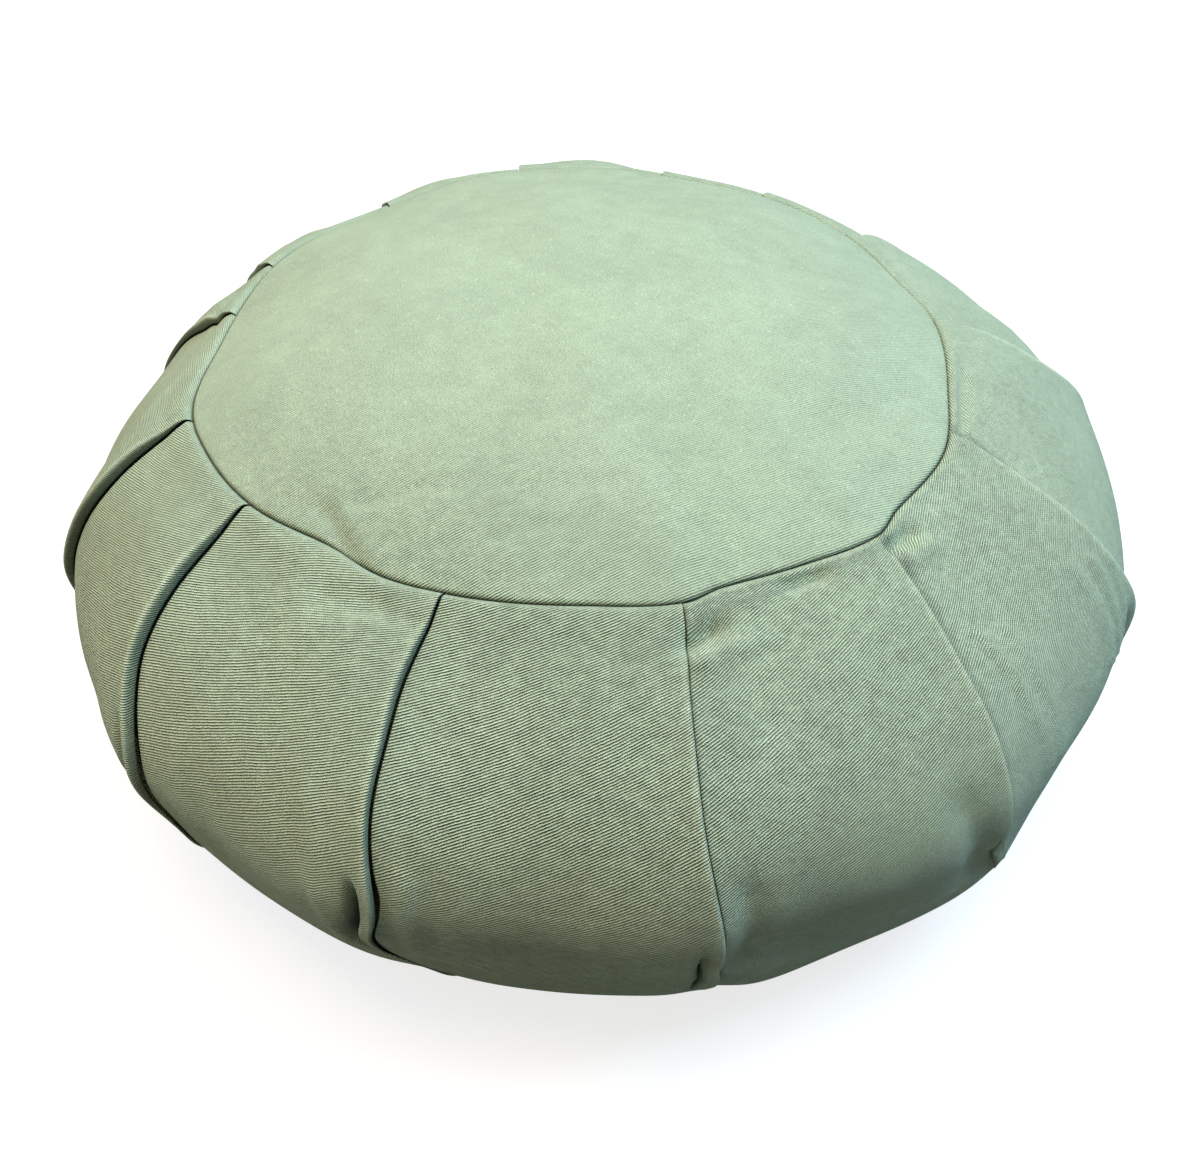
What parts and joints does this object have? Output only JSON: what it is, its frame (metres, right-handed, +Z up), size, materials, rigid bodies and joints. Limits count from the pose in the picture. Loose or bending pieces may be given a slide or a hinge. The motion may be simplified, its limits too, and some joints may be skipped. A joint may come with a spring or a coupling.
{
  "type": "zafu meditation cushion",
  "caption": "Round filled floor cushion with a domed top panel, a knife-pleated side that bulges at its belly and a flat base to rest on.",
  "frame": {"origin": "centre of the base, on the surface the cushion stands on", "axes": "+Z up out of the top panel; -Y towards the front, the side the picture is taken from; +X to the right of the picture"},
  "size_m": [0.3638, 0.3653, 0.1497],
  "materials": {
    "side_twill": "sage green cotton twill, matt with a soft brushed face, wale running up to the right at about 25 degrees to the band",
    "top_twill": "the same sage green cotton twill, matt, wale at about 25 degrees to the left-right axis",
    "bottom_twill": "the same sage green cotton twill, matt"
  },
  "bodies": {
    "root": {"pleated_side": "side_twill", "top_panel": "top_twill", "bottom_panel": "bottom_twill"}
  },
  "joints": []
}
